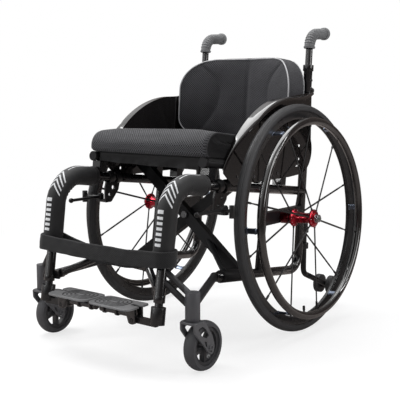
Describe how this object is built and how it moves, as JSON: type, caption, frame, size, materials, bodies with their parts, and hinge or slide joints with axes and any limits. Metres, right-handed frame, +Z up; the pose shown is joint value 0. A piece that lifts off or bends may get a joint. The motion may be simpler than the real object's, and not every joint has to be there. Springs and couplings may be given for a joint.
{
  "type": "folding active wheelchair",
  "caption": "Folding active wheelchair with cambered quick-release wheels, cross brace, flip-up footplates, side guards, height-adjustable push handles and a swing-away anti-tip.",
  "frame": {"origin": "on the floor under the middle of the chair's box", "axes": "+X to the user's left, +Y backwards, +Z up"},
  "size_m": [0.6184, 0.8575, 0.8125],
  "materials": {
    "frame_coat": "satin black powder coat",
    "bracket_coat": "satin black powder coat",
    "housing_grey": "dark grey metallic",
    "caster_plastic": "moulded",
    "caster_rubber": "matte",
    "tyre_rubber": "slick tread",
    "rim_black": "gloss black anodised",
    "spoke_black": "black",
    "hub_red": "red anodised",
    "bearing_steel": "ground",
    "axle_steel": "plain",
    "button_grey": "moulded",
    "handrim_black": "gloss black",
    "guard_gloss": "gloss black",
    "footplate_plastic": "moulded",
    "brake_black": "satin",
    "sleeve_cloth": "padded knit",
    "grip_rubber": "ribbed",
    "knob_plastic": "moulded",
    "brace_black": "satin black, ridged",
    "bolt_black": "blackened",
    "sling_cloth": "woven",
    "cushion_mesh": "spacer mesh",
    "back_mesh": "spacer mesh",
    "strap_cloth": "woven",
    "tip_metal": "satin",
    "tip_rubber": "moulded"
  },
  "bodies": {
    "right_frame": {"front_tube_right": "frame_coat", "main_tube_right": "frame_coat", "axle_bracket_right": "bracket_coat", "caster_housing_right": "housing_grey", "footrest_tube_right": "frame_coat", "leg_sleeve_right": "sleeve_cloth", "axle_right": "axle_steel", "side_guard_right": "guard_gloss", "brake_mount_right": "bracket_coat", "back_cushion": "back_mesh", "calf_strap": "strap_cloth"},
    "brace_rear": {"brace_rear": "brace_black", "seat_sling": "sling_cloth", "seat_cushion": "cushion_mesh"},
    "brace_front": {"brace_front": "brace_black", "brace_bolt": "bolt_black"},
    "left_frame": {"front_tube_left": "frame_coat", "main_tube_left": "frame_coat", "axle_bracket_left": "bracket_coat", "caster_housing_left": "housing_grey", "footrest_tube_left": "frame_coat", "leg_sleeve_left": "sleeve_cloth", "axle_left": "axle_steel", "side_guard_left": "guard_gloss", "brake_mount_left": "bracket_coat", "anti_tip_clamp": "tip_metal"},
    "footplate_left": {"footplate_left": "footplate_plastic"},
    "front_arm_left": {"front_arm_left": "frame_coat"},
    "rear_wheel_left": {"rear_tyre_left": "tyre_rubber", "rear_rim_left": "rim_black", "spokes_left": "spoke_black", "hub_left": "hub_red", "hub_bearings_left": "bearing_steel", "handrim_left": "handrim_black"},
    "release_button_left": {"release_button_left": "button_grey"},
    "caster_fork_left": {"caster_fork_left": "housing_grey"},
    "caster_wheel_left": {"caster_wheel_left": "caster_plastic", "caster_tyre_left": "caster_rubber"},
    "brake_lever_left": {"brake_lever_left": "brake_black"},
    "push_handle_left": {"push_tube_left": "frame_coat", "push_grip_left": "grip_rubber"},
    "height_knob_left": {"height_knob_left": "knob_plastic"},
    "footplate_right": {"footplate_right": "footplate_plastic"},
    "front_arm_right": {"front_arm_right": "frame_coat"},
    "rear_wheel_right": {"rear_tyre_right": "tyre_rubber", "rear_rim_right": "rim_black", "spokes_right": "spoke_black", "hub_right": "hub_red", "hub_bearings_right": "bearing_steel", "handrim_right": "handrim_black"},
    "release_button_right": {"release_button_right": "button_grey"},
    "caster_fork_right": {"caster_fork_right": "housing_grey"},
    "caster_wheel_right": {"caster_wheel_right": "caster_plastic", "caster_tyre_right": "caster_rubber"},
    "brake_lever_right": {"brake_lever_right": "brake_black"},
    "push_handle_right": {"push_tube_right": "frame_coat", "push_grip_right": "grip_rubber"},
    "height_knob_right": {"height_knob_right": "knob_plastic"},
    "anti_tip": {"anti_tip_tube": "tip_metal"},
    "anti_tip_wheels": {"anti_tip_wheels": "tip_rubber"}
  },
  "joints": [
    {"name": "fold", "type": "hinge", "parent": "right_frame", "child": "brace_rear", "pos_m": [-0.18, -0.05124, 0.1691], "axis": [0, -0.9925, 0.1219], "range_deg": [0, 32], "deforming": ["seat_sling", "seat_cushion", "back_cushion", "calf_strap"]},
    {"name": "brace_cross", "type": "hinge", "parent": "brace_rear", "child": "brace_front", "pos_m": [0, -0.03454, 0.30505], "axis": [0, -0.9925, 0.1219], "range_deg": [-64, 0]},
    {"name": "left_fold", "type": "hinge", "parent": "brace_front", "child": "left_frame", "pos_m": [0.18, -0.05124, 0.1691], "axis": [0, -0.9925, 0.1219], "range_deg": [0, 32]},
    {"name": "footplate_flip_left", "type": "hinge", "parent": "left_frame", "child": "footplate_left", "pos_m": [0.116, -0.38277, 0.116], "axis": [0, 1, 0], "range_deg": [0, 90]},
    {"name": "front_arm_fold_left", "type": "hinge", "parent": "left_frame", "child": "front_arm_left", "pos_m": [0.165, -0.3522, 0.178], "axis": [0, 1, 0], "range_deg": [0, 52.2]},
    {"name": "rear_wheel_spin_left", "type": "hinge", "parent": "left_frame", "child": "rear_wheel_left", "pos_m": [0.246, 0.12876, 0.29961], "axis": [0.9986, 0, 0.0523], "continuous": true},
    {"name": "release_press_left", "type": "slide", "parent": "left_frame", "child": "release_button_left", "axis": [-0.9986, 0, -0.0523], "range_m": [0, 0.004], "stiffness_N_per_m": 800},
    {"name": "caster_swivel_left", "type": "hinge", "parent": "left_frame", "child": "caster_fork_left", "pos_m": [0.245, -0.33724, 0.15], "axis": [0, 0, 1], "continuous": true},
    {"name": "caster_spin_left", "type": "hinge", "parent": "caster_fork_left", "child": "caster_wheel_left", "pos_m": [0.245, -0.29923, 0.058], "axis": [1, 0, 0], "continuous": true},
    {"name": "brake_swing_left", "type": "hinge", "parent": "left_frame", "child": "brake_lever_left", "pos_m": [0.206, -0.16323, 0.351], "axis": [0, 0, 1], "range_deg": [0, 12]},
    {"name": "handle_height_left", "type": "slide", "parent": "left_frame", "child": "push_handle_left", "axis": [0, 0.075, 0.9972], "range_m": [-0.04, 0.08]},
    {"name": "knob_turn_left", "type": "hinge", "parent": "left_frame", "child": "height_knob_left", "pos_m": [0.18, 0.28227, 0.634], "axis": [0, 1, 0], "range_deg": [0, 360]},
    {"name": "footplate_flip_right", "type": "hinge", "parent": "right_frame", "child": "footplate_right", "pos_m": [-0.116, -0.38277, 0.116], "axis": [0, -1, 0], "range_deg": [0, 90]},
    {"name": "front_arm_fold_right", "type": "hinge", "parent": "right_frame", "child": "front_arm_right", "pos_m": [-0.165, -0.3522, 0.178], "axis": [0, -1, 0], "range_deg": [0, 52.2]},
    {"name": "rear_wheel_spin_right", "type": "hinge", "parent": "right_frame", "child": "rear_wheel_right", "pos_m": [-0.246, 0.12876, 0.29961], "axis": [-0.9986, 0, 0.0523], "continuous": true},
    {"name": "release_press_right", "type": "slide", "parent": "right_frame", "child": "release_button_right", "axis": [0.9986, 0, -0.0523], "range_m": [0, 0.004], "stiffness_N_per_m": 800},
    {"name": "caster_swivel_right", "type": "hinge", "parent": "right_frame", "child": "caster_fork_right", "pos_m": [-0.245, -0.33724, 0.15], "axis": [0, 0, 1], "continuous": true},
    {"name": "caster_spin_right", "type": "hinge", "parent": "caster_fork_right", "child": "caster_wheel_right", "pos_m": [-0.245, -0.29923, 0.058], "axis": [1, 0, 0], "continuous": true},
    {"name": "brake_swing_right", "type": "hinge", "parent": "right_frame", "child": "brake_lever_right", "pos_m": [-0.206, -0.16323, 0.351], "axis": [0, 0, -1], "range_deg": [0, 12]},
    {"name": "handle_height_right", "type": "slide", "parent": "right_frame", "child": "push_handle_right", "axis": [0, 0.075, 0.9972], "range_m": [-0.04, 0.08]},
    {"name": "knob_turn_right", "type": "hinge", "parent": "right_frame", "child": "height_knob_right", "pos_m": [-0.18, 0.28227, 0.634], "axis": [0, 1, 0], "range_deg": [0, 360]},
    {"name": "anti_tip_swing", "type": "hinge", "parent": "left_frame", "child": "anti_tip", "pos_m": [0.18, 0.2583, 0.2], "axis": [0, 0, 1], "range_deg": [0, 180]},
    {"name": "anti_tip_spin", "type": "hinge", "parent": "anti_tip", "child": "anti_tip_wheels", "pos_m": [0.18, 0.39076, 0.062], "axis": [1, 0, 0], "continuous": true}
  ],
  "couplings": [
    {"joint": "brace_cross", "follows": "fold", "ratio": -2},
    {"joint": "left_fold", "follows": "fold", "ratio": 1},
    {"joint": "footplate_flip_left", "follows": "fold", "ratio": 2.8125},
    {"joint": "front_arm_fold_left", "follows": "fold", "ratio": 1.6281},
    {"joint": "footplate_flip_right", "follows": "fold", "ratio": 2.8125},
    {"joint": "front_arm_fold_right", "follows": "fold", "ratio": 1.6281}
  ]
}
